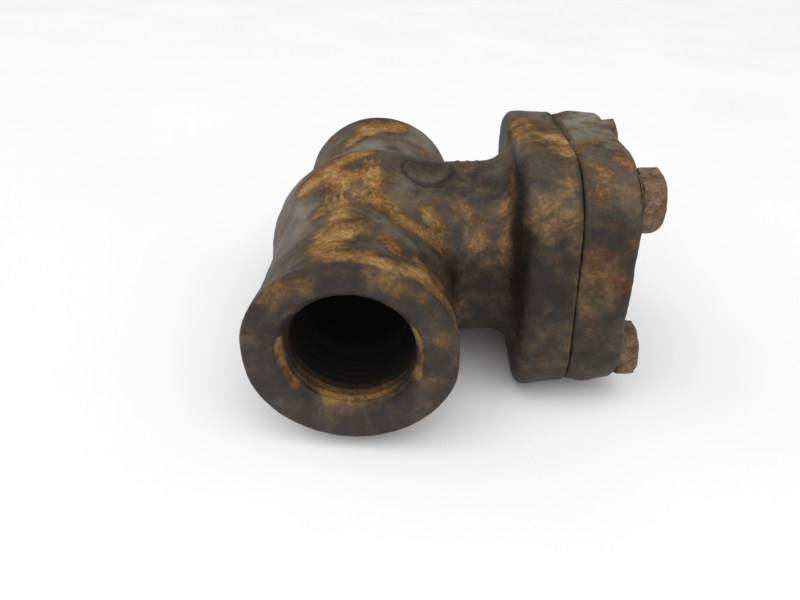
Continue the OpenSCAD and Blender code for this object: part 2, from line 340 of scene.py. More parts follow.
def net_vertices(values, low, step):
    """Active cells of the lattice, a vertex for each, and the lattice of their numbers."""
    inside = values < 0.0
    size = np.array(inside.shape) - 1
    count = sum(inside[i:i + size[0], j:j + size[1], k:k + size[2]].astype(np.int8)
                for i, j, k in CORNERS)
    cells = np.argwhere((count > 0) & (count < 8))
    number = np.full(size, -1, np.int32)
    number[tuple(cells.T)] = np.arange(len(cells))
    corner = np.stack([values[tuple((cells + c).T)] for c in CORNERS], axis=1)
    total = np.zeros((len(cells), 3))
    crossings = np.zeros(len(cells))
    for a, b in EDGES:
        crossed = (corner[:, a] < 0.0) != (corner[:, b] < 0.0)
        span = np.where(crossed, corner[:, a] - corner[:, b], 1.0)
        t = np.where(crossed, corner[:, a] / span, 0.0)
        total += crossed[:, None] * (CORNERS[a] + t[:, None] * (CORNERS[b] - CORNERS[a]))
        crossings += crossed
    return low + (cells + total / crossings[:, None]) * step, number, inside


def net_quads(number, inside):
    """A quad round each crossed lattice edge, wound so that it faces outwards."""
    quads = []
    for axis in range(3):
        one, two = (axis + 1) % 3, (axis + 2) % 3
        first = np.take(inside, range(inside.shape[axis] - 1), axis)
        second = np.take(inside, range(1, inside.shape[axis]), axis)
        edges = np.argwhere(first != second)
        step_one, step_two = np.eye(3, dtype=int)[[one, two]]
        ring = [edges - step_one - step_two, edges - step_two, edges, edges - step_one]
        quad = np.stack([number[tuple(c.T)] for c in ring], axis=1)
        leaving = first[tuple(edges.T)]
        quads.append(np.where(leaving[:, None], quad, quad[:, ::-1]))
    return np.concatenate(quads)


def slope(field, p, h=0.02):
    """Gradient of the field at many points, by central differences."""
    steps = np.eye(3) * h
    return np.stack([(field(*(p + s).T) - field(*(p - s).T)) / (2 * h) for s in steps], axis=1)


def net_surface(field, low, high, step):
    """Vertices and quads of the surface where the field is zero, in millimetres."""
    axes = [np.arange(l - 2 * step, h + 2 * step, step, dtype=np.float32)
            for l, h in zip(low, high)]
    x, y, z = np.meshgrid(*axes, indexing="ij", sparse=True)
    values = field(x, y, z)
    points, number, inside = net_vertices(values, np.array([a[0] for a in axes]), step)
    for _ in range(2):
        g = slope(field, points)
        move = field(*points.T) / np.maximum((g * g).sum(1), 0.3)
        points -= np.clip(move, -0.4 * step, 0.4 * step)[:, None] * g
    return points, net_quads(number, inside)


# %% [markdown]
# ## Making objects
#
# One function puts points and faces into a mesh. A forging's net has more faces than
# its flat parts need, so it is thinned by collapsing edges, most where it is flat.


# %% Mesh helpers
def make_object(name, points, faces):
    """An object at the origin whose vertices are points in millimetres."""
    mesh = bpy.data.meshes.new(name)
    width = faces.shape[1]
    mesh.vertices.add(len(points))
    mesh.vertices.foreach_set("co", (points * MM).astype(np.float32).ravel())
    mesh.loops.add(faces.size)
    mesh.loops.foreach_set("vertex_index", faces.astype(np.int32).ravel())
    mesh.polygons.add(len(faces))
    mesh.polygons.foreach_set("loop_start", np.arange(0, faces.size, width, dtype=np.int32))
    mesh.polygons.foreach_set("use_smooth", np.full(len(faces), True))
    mesh.update(calc_edges=True)
    mesh.validate()
    return new_object(name, mesh)


def thin_out(piece, triangles):
    """Collapses edges until about that many triangles are left."""
    now = sum(len(p.vertices) - 2 for p in piece.data.polygons)
    if now > triangles:
        piece.modifiers.new("thin", "DECIMATE").ratio = triangles / now
        graph = bpy.context.evaluated_depsgraph_get()
        done = bpy.data.meshes.new_from_object(piece.evaluated_get(graph))
        piece.modifiers.clear()
        piece.data = done
        done.polygons.foreach_set("use_smooth", np.full(len(done.polygons), True))
    print(piece.name, "has", len(piece.data.polygons), "faces, from", now, "triangles")


def vectors(items, key):
    """One vector of every item, as rows."""
    flat = np.empty(len(items) * 3, np.float32)
    items.foreach_get(key, flat)
    return flat.reshape(-1, 3).astype(float)


def points_of(piece):
    """Vertex places in millimetres."""
    return vectors(piece.data.vertices, "co") / MM


def normals_of(piece):
    """Vertex normals."""
    return vectors(piece.data.vertex_normals, "vector")


def set_points(piece, points):
    """Writes vertex places given in millimetres."""
    piece.data.vertices.foreach_set("co", (points * MM).astype(np.float32).ravel())
    piece.data.update()


def set_attribute(piece, name, values):
    """A number for each vertex, which a material can read."""
    layer = piece.data.attributes.new(name, "FLOAT", "POINT")
    layer.data.foreach_set("value", values.astype(np.float32))


# %% [markdown]
# ## Unevenness
#
# No forged surface is even. Waves are sums of sines in random directions, all of
# about one wavelength, and make broad dents.


# %% Waves
def waves(points, length, seed, count=14):
    """Sum of sines with random directions and phases, from about -1 to 1."""
    random = np.random.default_rng(seed)
    way = random.normal(size=(count, 3))
    way /= np.linalg.norm(way, axis=1)[:, None]
    rate = 2 * math.pi / (length * random.uniform(0.7, 1.4, count))
    phase = random.uniform(0, 2 * math.pi, count)
    return np.sin(points @ (way * rate[:, None]).T + phase).sum(1) / math.sqrt(count)


# %% [markdown]
# ## Raised marks
#
# A trap carries raised marks from its die. Real ones would name a maker, so these
# are plain: an arrow for the flow, short bars, and a round pad with a groove. Each is
# a flat shape seen from above. A vertex inside it is lifted with a soft edge, so that
# the marks belong to the surface and are worn like it.

# %% Marks on the body
# Each row of short bars is its middle and how many bars it has
BAR_ROWS = [(3.6, 50.5, 3), (3.4, 45.6, 3), (4.2, 40.6, 3), (3.9, 35.9, 2), (-5.4, 36.0, 3)]
MARK_LIFT = 0.65
SMALL_LIFT = 0.35
PAD_LIFT = 0.5
PAD_R = 6.6


def bar(x, y, cx, cy, wide, long):
    """Distance to a flat bar with a centre and two half sizes."""
    return np.maximum(np.abs(x - cx) - wide, np.abs(y - cy) - long)


def arrow(x, y, cx, cy):
    """Distance to an arrow that points along +Y, 13 mm long."""
    shaft = bar(x, y, cx, cy - 2.0, 0.7, 4.6)
    head = np.maximum((np.abs(x - cx) * 1.3 + (y - cy - 6.5)) / 1.64, cy + 2.0 - y)
    return np.minimum(shaft, head)


def marks_height(points):
    """How far each vertex is lifted by the marks, in millimetres."""
    x, y, z = points.T
    shape = arrow(x, y, -6.2, 47.0)
    for cx, cy, count in BAR_ROWS:
        for i in range(count):
            middle_x, middle_y = cx + 1.9 * (i - (count - 1) / 2), cy + 0.12 * (i - 1)
            shape = np.minimum(shape, bar(x, y, middle_x, middle_y, 0.5, 1.35))
    lift = MARK_LIFT * ramp(-shape, -0.15, 0.35)
    small = np.full(len(x), 9.0)
    for i in range(4):
        small = np.minimum(small, bar(x, y, 26.6 + 2.7 * i, MID_Y + 4.0 - 0.4 * i, 0.75, 1.8))
    lift = np.maximum(lift, SMALL_LIFT * ramp(-small, -0.15, 0.35))
    pad = np.hypot(x - 18.3, y - MID_Y + 3.0) - PAD_R
    groove = PAD_LIFT * np.exp(-(pad / 0.6) ** 2)
    lift = np.maximum(lift, PAD_LIFT * ramp(-pad, -0.1, 0.4)) - groove
    seam = 0.18 * np.exp(-((x + 0.2) / 0.35) ** 2) * ramp(y, 33.0, 36.0) * ramp(-y, -47.0, -45.0)
    return (lift + seam) * (z > 8.0)


# %% [markdown]
# ## Where rust sits
#
# Rust starts where water stood or dripped, so its patches are listed one by one. A patch is a
# short thick line between two points on the surface. Its strength falls from 1 on the
# line to 0 at its radius. The material adds the ragged edge, and waves add weaker
# patches everywhere else.

# %% Rust patches
# Each row is two end points and a radius in millimetres, and a strength.
BODY_RUST = [
    ((-7, 84, 23), (-1, 92, 25), 4.5, 0.9), ((-1, 94, 25), (6, 99, 24), 5.5, 1.0),
    ((-14, 46, 24), (-6, 52, 28), 4.5, 1.0), ((-6, 52, 28), (1, 62, 27), 5.0, 1.0),
    ((-8, 41, 25), (2, 45, 28), 4.5, 0.75), ((-8, 31, 24), (-3, 31, 25), 3.2, 1.0),
    ((2, 34, 25), (6, 42, 26), 4.0, 0.6), ((-4, 10, 24), (-1, 22, 25), 5.0, 1.0),
    ((-4, 3, 24), (4, 4, 24), 4.0, 0.8), ((4, 3, 24), (12, 4, 22), 3.4, 0.8),
    ((5, 34, 24), (13, 28, 21), 3.0, 1.0), ((13, 27, 21), (20, 28, 15), 3.6, 1.0),
    ((9, 15, 23), (12, 10, 21), 2.0, 1.0), ((16, 12, 19), (21, 9, 13), 2.2, 0.9),
    ((8, 3, 23), (20, 5, 14), 3.5, 1.0), ((20, 5, 14), (24, 4, 5), 3.5, 0.8),
    ((-13, 8, -9), (-7, 7, -15), 4.0, 0.9), ((-7, 6, -15), (7, 6, -15), 3.5, 1.0),
    ((-16, 1, 4), (-14, 2, -8), 1.6, 1.0), ((15, 1, 6), (16, 1, -6), 1.6, 0.7),
    ((-10, 1, 12), (9, 1, 13), 1.4, 0.6),
    ((21, 38, 20), (31, 35, 16), 3.2, 0.52), ((19, 35, 19), (20, 33, 16), 3.0, 0.8),
    ((30, 33, 12), (36, 29, 3), 3.0, 0.5), ((39, 38, 20), (37, 30, 7), 2.4, 0.6),
    ((42, 58, 33), (52, 40, 33), 8.0, 0.7), ((40, 49, 27), (39, 36, 22), 2.4, 0.6),
    ((43, 21, 23), (52, 22, 22), 5.0, 0.36), ((50, 27, 28), (53, 22, 16), 3.0, 0.5),
    ((48, 20, 12), (52, 20, 8), 3.0, 0.42), ((47, 20, -12), (46, 20, -24), 4.0, 0.38),
]
FACE_RUST = [
    ((-15, 0, 17), (-10, 0, 20), 3.2, 0.65), ((-20, 0, 12), (-22, 0, 5), 2.4, 0.3),
    ((-8, 0, 23), (9, 0, 22), 1.0, 0.35), ((9, 0, 20), (12, 0, 17), 2.4, 0.7),
    ((19, 0, 13), (22, 0, 2), 2.6, 0.38), ((21, 0, -4), (16, 0, -14), 3.0, 0.25),
    ((-12, 0, 12), (10, 0, 14), 1.2, 0.5), ((11, 0, 20), (17, 0, 15), 1.8, 0.6),
]
COVER_RUST = [
    ((56, 29, 30), (57, 24, 24), 3.5, 0.5), ((61, 37, 33), (64, 30, 31), 4.5, 0.5),
    ((57, 20, 12), (64, 21, 4), 6.0, 0.7), ((62, 21, 20), (65, 22, 16), 3.5, 0.6),
    ((57, 20, -3), (61, 20, -14), 4.5, 0.5), ((66, 40, 5), (66, 66, -8), 12.0, 0.7),
    ((66, 34, -24), (66, 52, -18), 8.0, 0.6), ((66, 60, 22), (66, 44, 18), 8.0, 0.5),
]

# The same for the tone of the scale: above 0 it is pale, below 0 it is black.
BODY_TONE_AND_HIGHLIGHTS = [
    # The first two rows are painted highlights: sheen on the left of the swelling and on the far
    # end's top.
    ((-20, 36, 14), (-19, 66, 16), 12.0, 0.6), ((8, 76, 22), (14, 100, 18), 10.0, 1.3),
    ((-12, 24, 20), (-18, 12, 16), 7.0, 0.4), ((24, 48, 24), (38, 48, 24), 12.0, -0.3),
    ((24, 36, 12), (38, 33, 2), 10.0, -0.3), ((43, 50, 33), (51, 62, 33), 11.0, 0.7),
    ((26, 36, -6), (40, 36, -10), 12.0, -0.5), ((44, 22, 0), (50, 22, -24), 12.0, -0.3),
    ((14, 30, 20), (22, 24, 12), 8.0, -0.5), ((4, 56, 28), (14, 54, 26), 8.0, -0.3),
]
COVER_TONE = [
    ((58, 50, 33), (64, 70, 31), 14.0, 1.5), ((60, 36, 33), (66, 28, 26), 7.0, 0.5),
    ((60, 20, -6), (60, 22, -26), 12.0, -0.2), ((60, 20, 16), (60, 20, 0), 8.0, 0.1),
]


def nearness(points, start, end, radius):
    """1 on the line between two points, falling to 0 at the radius from it."""
    a, b = np.array(start, float), np.array(end, float)
    line = b - a
    t = np.clip((points - a) @ line / max(line @ line, 1e-6), 0.0, 1.0)
    return np.maximum(1.0 - np.linalg.norm(points - a - t[:, None] * line, axis=1) / radius, 0.0)


def rust_strength(points, patches):
    """Largest strength of the patches at each point, spread a little past each radius."""
    best = np.zeros(len(points))
    for start, end, radius, strength in patches:
        near = nearness(points, start, end, 2.0 * radius)
        best = np.maximum(best, strength * ramp(near, 0.0, 0.95))
    return best


def tone_dust_and_shading(points, normals, patches):
    """Sum of the tone patches, plus dust and painted shading: what faces up is paler than what
    faces aside.
    """
    # Painted shading, with some dust: faces turned up are made paler and faces turned aside darker.
    tone = 1.5 * ramp(normals[:, 2], -0.1, 0.9) - 1.1
    for start, end, radius, strength in patches:
        tone += strength * ramp(nearness(points, start, end, 1.4 * radius), 0.0, 0.8)
    return tone


# %% [markdown]
# ## Build the two forgings

# %% Body
STEP = 0.45
BODY_TRIANGLES = 190000
COVER_TRIANGLES = 90000


def uneven(points, seed, broad, blotch, grit):
    """Dents of three lengths, 15, 4.5 and 1.9 mm, each of its own depth."""
    return (broad * waves(points, 15.0, seed) + blotch * waves(points, 4.5, seed + 1)
            + grit * waves(points, 1.9, seed + 2))


def body_skin(points):
    """1 on the forged skin, 0 on machined faces and in bores."""
    end = np.minimum(points[:, 1], RUN_LEN - points[:, 1])
    skin = ramp(body_outside(*points.T), -0.6, -0.05) * ramp(end, 0.1, 1.2)
    return skin * ramp(JOINT_X - points[:, 0], 0.2, 1.5)


def finish_forging(piece, field, lift, low, high, triangles):
    """Lifts every vertex along the field's slope, keeps it in the box, and thins the mesh."""
    points = points_of(piece)
    way = slope(field, points)
    way /= np.maximum(np.linalg.norm(way, axis=1), 1e-6)[:, None]
    set_points(piece, points + way * lift[:, None])
    thin_out(piece, triangles)
    set_points(piece, np.clip(points_of(piece), low, high))


points, quads = net_surface(body_field, body_low, body_high, STEP)
body = make_object("body_forging", points, quads)
points = points_of(body)
skin = body_skin(points)
lift = skin * (uneven(points, 3, 0.13, 0.045, 0.025) - 0.10 + marks_height(points))
lift += (1.0 - skin) * 0.03 * waves(points, 2.5, 6)
finish_forging(body, body_field, lift, body_low, body_high, BODY_TRIANGLES)

points = points_of(body)
end = np.minimum(points[:, 1], RUN_LEN - points[:, 1])
axis_r = np.hypot(points[:, 0], points[:, 2])
skin = body_skin(points)
unseen = np.clip(ramp(-points[:, 2], -6.0, 10.0) + ramp(points[:, 1], 62.0, 78.0), 0.0, 1.0)
drift = (0.15 + 0.22 * waves(points, 26.0, 8)) * (0.3 + 0.7 * unseen)
raised = marks_height(points) / MARK_LIFT
edges_of_marks = 0.3 * np.clip(raised * (1.6 - raised) * 2.0, 0.0, 1.0) * (points[:, 0] < 12.0)
on_face = ramp(0.9 - points[:, 1], 0.0, 0.6) * ramp(axis_r, 14.5, 15.5)
patches = rust_strength(points, BODY_RUST) * (1.0 - on_face)
patches += rust_strength(points, FACE_RUST) * on_face
# Tone: patches, dust and painted shading on the skin, upward faces paler and side faces darker; 0.5
# lower off the skin.
tone = skin * tone_dust_and_shading(points, normals_of(body), BODY_TONE_AND_HIGHLIGHTS) - 0.5 * (1.0 - skin)
# Painted shade: the deep mask covers the bores and the cut-away hollows, which the material paints
# nearly black.
inside = ramp(RUN_R - 6.5 - axis_r, -0.5, 0.8) * ramp(end, 2.5, 10.0)
cut_away = ramp(-body_hollows(*points.T), -0.4, 0.4) * ramp(end, 22.0, 30.0)
set_attribute(body, "skin", skin)
set_attribute(body, "rust", np.maximum(patches, drift) + edges_of_marks)
set_attribute(body, "tone", tone)
set_attribute(body, "deep", np.maximum(inside, cut_away))
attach(body, "housing")
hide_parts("body")

# %% Cover
points, quads = net_surface(cover_field, cover_low, cover_high, STEP)
cover = make_object("cover_forging", points, quads)
points = points_of(cover)
skin = ramp(points[:, 0], COVER_X + 0.3, COVER_X + 1.5)
lift = skin * (uneven(points, 13, 0.15, 0.06, 0.03) - 0.12)
finish_forging(cover, cover_field, lift, cover_low, cover_high, COVER_TRIANGLES)
points = points_of(cover)
drift = 0.28 + 0.2 * waves(points, 20.0, 18)
set_attribute(cover, "skin", ramp(points[:, 0], COVER_X + 0.3, COVER_X + 1.5))
set_attribute(cover, "rust", np.maximum(rust_strength(points, COVER_RUST), drift))
# Tone: patches, dust and painted shading, the cover's upward faces paler and its sides darker.
set_attribute(cover, "tone", tone_dust_and_shading(points, normals_of(cover), COVER_TONE))
set_attribute(cover, "deep", np.zeros(len(points)))
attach(cover, "housing")
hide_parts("cover")

# %% [markdown]
# ## Turned pieces
#
# Bolts, nuts, washers and the stem are each one surface of two parameters: the angle
# round the axis, and the station along a profile. A hexagon only changes the radius
# with the angle, and a thread makes it zigzag with the angle and the station together.


# %% Surfaces of revolution
CHAMFER = math.tan(math.radians(30))
SHARP = math.radians(28)


def around(count):
    """Even angles of a full turn, one to a row."""
    return 2 * np.pi * np.arange(count)[:, None] / count


def column(stations, angle):
    """A row of stations repeated for every angle."""
    return np.asarray(stations, float) + 0 * angle


def grid_faces(rings, stations, wrap=False):
    """Quads of a grid that closes round its first parameter, and its second if wrap."""
    last = stations if wrap else stations - 1
    i, j = np.meshgrid(np.arange(rings), np.arange(last), indexing="ij")
    ahead, on = (i + 1) % rings, (j + 1) % stations
    quad = [i * stations + j, ahead * stations + j, ahead * stations + on, i * stations + on]
    return np.stack([q.ravel() for q in quad], axis=1)


def turned_points(radius, place, centre=(0.0, 0.0)):
    """Point = (place, centre + radius * (cos, sin) of the angle), for every angle and station."""
    angle = around(len(radius))
    y = MID_Y + centre[0] + radius * np.cos(angle)
    z = centre[1] + radius * np.sin(angle)
    return np.stack([np.broadcast_to(place, radius.shape), y, z], axis=-1).reshape(-1, 3)


def weld(piece):
    """Merges doubled vertices, such as a pole's, and turns all faces outwards."""
    work = bmesh.new()
    work.from_mesh(piece.data)
    bmesh.ops.remove_doubles(work, verts=work.verts, dist=0.002 * MM)
    bmesh.ops.recalc_face_normals(work, faces=work.faces)
    work.to_mesh(piece.data)
    work.free()


def turned_piece(name, shells, wrap=False):
    """An object of one or more turned shells, each given as (radius, place, centre)."""
    points, faces, count = [], [], 0
    for radius, place, centre in shells:
        points.append(turned_points(radius, place, centre))
        faces.append(grid_faces(*radius.shape, wrap) + count)
        count += radius.size
    piece = make_object(name, np.concatenate(points), np.concatenate(faces))
    weld(piece)
    piece.data.set_sharp_from_angle(angle=SHARP)
    return piece


def hexagon(angle, flats, turn, corner):
    """Radius of a hexagon of that width across its flats, its corners worn to a circle."""
    away = (angle - turn + math.pi / 6) % (math.pi / 3) - math.pi / 6
    return np.minimum(flats / 2 / np.cos(math.pi / 6 - np.abs(away)), corner)


# %% [markdown]
# ## The cover bolts
#
# Each bolt is a 3/8 inch hexagon-head bolt. Its head has a 30 degree chamfer, which
# the lathe cuts as a cone, so the chamfer is deepest at the corners. Under the head
# is a round face, and below that the shank with its thread.

# %% Bolts
HEAD_AF = 14.3
HEAD_CORNER_R = 8.15
COLLAR_H = 0.4
SHANK_R = 4.72
BOLT_PITCH = 1.5875
# The way each head was left turned when it was tightened, in degrees
TURNS = {(-1, 1): 18.0, (-1, -1): 30.0, (1, 1): 41.0, (1, -1): 7.0}


def bolt_shell(side_y, side_z):
    """Radius and place of every angle and station of one bolt, from head to tip."""
    angle = around(144)
    top, base, tip = bolts_high[0], COVER_TOP_X, bolts_low[0]
    corner = hexagon(angle, HEAD_AF, math.radians(TURNS[side_y, side_z]), HEAD_CORNER_R)
    flat = 0.46 * HEAD_AF
    face = column(np.array([0.0, 0.3, 0.6, 0.85, 1.0]) * flat, angle)
    face_x = column([top, top, top, top, top - 0.05], angle)
    slant = flat + np.array([0.35, 0.7, 0.96, 1.0]) * (corner - flat)
    slant_x = top - 0.1 - (slant - flat) * CHAMFER
    slant_x[:, -1] -= 0.35
    side = np.repeat(corner, 6, axis=1)
    side[:, -1] -= 0.15
    drop = np.linspace(1.0, 0.0, 7)[1:]
    side_x = base + COLLAR_H + drop * (slant_x[:, -1:] - base - COLLAR_H)
    collar = column([6.9, 6.95, 6.95, 5.2, SHANK_R], angle)
    collar_x = base + column([COLLAR_H, COLLAR_H - 0.1, 0.0, 0.0, 0.0], angle)
    run = np.linspace(0.0, base - tip - 0.8, 90)[1:]
    tooth = np.clip(zigzag(run / BOLT_PITCH + angle / (2 * math.pi)) * 1.25 - 0.12, 0.0, 1.0)
    thread = SHANK_R - 0.85 * tooth * ramp(run, 3.0, 5.0)
    end = column([3.7, 2.0, 0.0], angle)
    end_x = column([tip, tip, tip], angle)
    radius = np.concatenate([face, slant, side, collar, thread, end], axis=1)
    place = np.concatenate([face_x, slant_x, side_x, collar_x, column(base - run, angle), end_x],
                           axis=1)
    return radius, place, (side_y * BOLT_OFF, side_z * BOLT_OFF)


bolts = turned_piece("cover_bolts_rusted", [bolt_shell(*s) for s in TURNS])
points, normals = points_of(bolts), normals_of(bolts)
showing = ramp(points[:, 0], COVER_TOP_X + 0.1, COVER_TOP_X + 0.8)
worn = 0.09 * waves(points, 4.0, 21) + 0.04 * waves(points, 1.5, 22) - 0.1
set_points(bolts, np.clip(points + normals * (worn * showing)[:, None], bolts_low, bolts_high))
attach(bolts, "housing")
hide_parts("cover_bolts")
print("bolts:", len(bolts.data.polygons), "faces")

# %% [markdown]
# ## Material helpers
#
# Colours are written as sRGB hex, as they are picked from a swatch, and turned to
# linear once. One function adds a node, sets it and links it, and short ones stand
# for the nodes that come up again and again.


# %% Node helper
def hex_colour(code):
    """sRGB hex to linear RGBA."""
    c = np.array([int(code[i:i + 2], 16) for i in (1, 3, 5)]) / 255.0
    return (*np.where(c <= 0.04045, c / 12.92, ((c + 0.055) / 1.055) ** 2.4), 1.0)


def add(tree, kind, inputs, **settings):
    """A node of that kind. Inputs map a socket to a value, or to a socket to link from."""
    made = tree.nodes.new("ShaderNode" + kind)
    for name, value in settings.items():
        setattr(made, name, value)
    for socket, value in inputs.items():
        if isinstance(value, bpy.types.NodeSocket):
            tree.links.new(value, made.inputs[socket])
        else:
            made.inputs[socket].default_value = value
    return made


def noise(tree, place, size, detail, **more):
    """Noise whose lumps are about that many millimetres across."""
    inputs = {"Vector": place, "Scale": 1 / (size * MM), "Detail": detail, **more}
    return add(tree, "TexNoise", inputs).outputs["Fac"]


def maths(tree, operation, *values):
    """A Math node's result. Each value is a number or a socket."""
    return add(tree, "Math", dict(enumerate(values)), operation=operation).outputs[0]


def weighted(tree, total, *terms):
    """The total plus every (value, weight) term's product."""
    for value, weight in terms:
        total = maths(tree, "MULTIPLY_ADD", value, weight, total)
    return total


def spread(tree, value, low, high, to_low=0.0, to_high=1.0, kind="LINEAR"):
    """The range low to high mapped to another, and clamped."""
    inputs = {"Value": value, "From Min": low, "From Max": high,
              "To Min": to_low, "To Max": to_high}
    return add(tree, "MapRange", inputs, interpolation_type=kind).outputs["Result"]


def blend(tree, factor, a, b, mode="MIX"):
    """Colour a turned into b by the factor, or multiplied by b."""
    inputs = {"Factor": factor, "A": a, "B": b}
    return add(tree, "Mix", inputs, data_type="RGBA", blend_type=mode).outputs["Result"]


def relieve(tree, shader, height, strength, deep_mm):
    """Bump from a height, at most that many millimetres deep."""
    inputs = {"Height": height, "Strength": strength, "Distance": deep_mm * MM}
    bump = add(tree, "Bump", inputs)
    tree.links.new(bump.outputs["Normal"], shader.inputs["Normal"])


def colour_ramp(tree, value, stops):
    """A ramp through the given (place, hex colour) stops."""
    made = add(tree, "ValToRGB", {"Fac": value})
    while len(made.color_ramp.elements) < len(stops):
        made.color_ramp.elements.new(0.5)
    for element, (place, code) in zip(made.color_ramp.elements, stops):
        element.position = place
        element.color = hex_colour(code)
    return made.outputs["Color"]


def new_material(name, roughness, metallic=0.0, ior=1.5, gloss=0.5):
    """A material with a Principled shader, its tree and its shader node.

    Gloss is the share of light a pitted surface still mirrors, where 0.5 is a whole one.
    """
    material = bpy.data.materials.new(name)
    material.use_nodes = True
    shader = material.node_tree.nodes["Principled BSDF"]
    shader.inputs["Roughness"].default_value = roughness
    shader.inputs["Metallic"].default_value = metallic
    shader.inputs["IOR"].default_value = ior
    if metallic == 0.0:
        shader.inputs["Specular IOR Level"].default_value = gloss
    return material, material.node_tree, shader


# %% [markdown]
# ## Forged steel with scale and rust
#
# Steel comes out of the forge with a dark skin of oxide, grey where it is smooth and
# brown where damp has got at it. Rust grows through it in patches with ragged edges:
# red-brown where it is old and thick, ochre where it is fresh and powdery. Four
# sizes of noise do the work: broad, for the drift of tone over 20 mm; blotch and
# mottle, for patches of 8 and 5 mm; and grain, for grit of a millimetre and less.
# The rust attribute says where rust is likely, and the noise breaks its edge.


# %% Scaled and rusted steel
MACHINED = [(0.32, "#1f1913"), (0.46, "#322922"), (0.60, "#453a30")]
# The film sets in below the first of these, and rust is thick above the second
RUST_EDGE = (1.52, 2.08)


def rusted_forging(name, steel, film, rust):
    """Forge scale under ragged rust, with painted shade nearly black in the hollows, and darker
    machined faces.
    """
    material, tree, shader = new_material(name, 0.6, ior=1.6, gloss=0.28)
    place = add(tree, "TexCoord", {}).outputs["Object"]
    broad = noise(tree, place, 20.0, 3.0)
    blotch = noise(tree, place, 8.5, 5.0, Roughness=0.62, Distortion=0.1)
    mottle = noise(tree, place, 4.8, 6.0, Roughness=0.64, Distortion=0.15)
    grain = noise(tree, place, 1.0, 4.0, Roughness=0.7)
    patch, skin, pale, deep = (add(tree, "Attribute", {}, attribute_name=n).outputs["Fac"]
                               for n in ("rust", "skin", "tone", "deep"))

    # Bare steel: scale on the forged skin, plain metal where it was machined, shifted by the tone
    # attribute, which carries painted shading too
    tone = weighted(tree, 0.0, (broad, 0.55), (mottle, 0.45), (pale, 0.13))
    colour = blend(tree, skin, colour_ramp(tree, tone, MACHINED), colour_ramp(tree, tone, steel))
    # Rust: a thin brown film reaches further out than the thick rust it surrounds
    ragged = weighted(tree, patch, (mottle, 1.3), (grain, 0.25), (blotch, 0.8))
    thin = spread(tree, ragged, RUST_EDGE[0] - 0.34, RUST_EDGE[0] + 0.25, kind="SMOOTHSTEP")
    thick = spread(tree, ragged, *RUST_EDGE, kind="SMOOTHSTEP")
    rust_tone = weighted(tree, 0.0, (grain, 0.25), (blotch, 0.75))
    colour = blend(tree, thin, colour, colour_ramp(tree, blotch, film))
    colour = blend(tree, thick, colour, colour_ramp(tree, rust_tone, rust))
    # Dust and painted shading, paler on what faces up and darker aside, grit all over, and painted
    # shade, nearly black, in the bores
    dust_and_shade = spread(tree, pale, -1.1, 0.4, 0.64, 1.1)
    speck = spread(tree, grain, 0.35, 0.65, 0.76, 1.16)
    colour = blend(tree, 1.0, colour, dust_and_shade, "MULTIPLY")
    colour = blend(tree, 1.0, colour, speck, "MULTIPLY")
    # Painted shade: the deep mask makes the bores and hollows nearly black.
    colour = blend(tree, deep, colour, hex_colour("#0b0907"))
    tree.links.new(colour, shader.inputs["Base Color"])

    rough = weighted(tree, spread(tree, thick, 0.0, 1.0, 0.42, 0.85), (mottle, 0.25))
    tree.links.new(maths(tree, "MAXIMUM", rough, deep), shader.inputs["Roughness"])
    relieve(tree, shader, weighted(tree, grain, (mottle, 1.6), (thick, 0.25)), 0.7, 0.4)
    return material


# Forge scale with ochre rust: matt dark steel that has stood in the damp, paler on top from dust
# and painted shading
body_steel = rusted_forging(
    "forge_scale_with_ochre_rust",
    steel=[(0.32, "#1d1812"), (0.42, "#30281f"), (0.51, "#483d31"), (0.60, "#5f5548"),
           (0.70, "#787066")],
    film=[(0.38, "#37291b"), (0.50, "#523d26"), (0.62, "#6b5132")],
    rust=[(0.36, "#4f2f18"), (0.45, "#6f4e26"), (0.54, "#896736"), (0.66, "#a98652")])
# Forge scale with red rust: the same steel, but older and redder, as the cover ran hotter
cover_steel = rusted_forging(
    "forge_scale_with_red_rust",
    steel=[(0.32, "#1e1913"), (0.42, "#322b22"), (0.51, "#4a4135"), (0.60, "#645c50"),
           (0.70, "#7f796d")],
    film=[(0.38, "#32261a"), (0.50, "#4a3a26"), (0.62, "#604e34")],
    rust=[(0.36, "#482413"), (0.45, "#673c22"), (0.54, "#785536"), (0.66, "#8f744d")])
body.data.materials.append(body_steel)
cover.data.materials.append(cover_steel)


# %% Brown rusted bolts
def rusted_bolt(name):
    """Plain steel bolt heads: an even brown rust, redder in blotches, grey where rubbed."""
    material, tree, shader = new_material(name, 0.75, ior=1.6, gloss=0.3)
    place = add(tree, "TexCoord", {}).outputs["Object"]
    blotch = noise(tree, place, 3.5, 5.0, Roughness=0.65, Distortion=0.4)
    tone = weighted(tree, 0.0, (noise(tree, place, 0.7, 3.0), 0.35), (blotch, 0.65))
    stops = [(0.36, "#37261c"), (0.46, "#5a4232"), (0.56, "#725b46"), (0.68, "#8b775f")]
    tree.links.new(colour_ramp(tree, tone, stops), shader.inputs["Base Color"])
    relieve(tree, shader, tone, 0.5, 0.3)
    return material


# Brown rusted bolt steel: an even brown that sets the heads off from the scale
bolts.data.materials.append(rusted_bolt("brown_rusted_bolt_steel"))

# %% [markdown]
# ## The inner works
#
# Inside are a valve stem that hangs in a stack of bimetal discs, a seat, and a
# strainer screen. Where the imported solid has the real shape, it stays and only gets
# its finish. The nuts, the stem's thread, the spring, the washers and the wound
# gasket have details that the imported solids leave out, so they are made here as
# turned pieces.

# %% Stem with its thread
STEM_R = (stem_high[2] - stem_low[2]) / 2
STEM_PITCH = 0.7
ON_AXIS = (0.0, 0.0)
thread_x = box_mm("adjusting_nut")[0][0] - 1.0

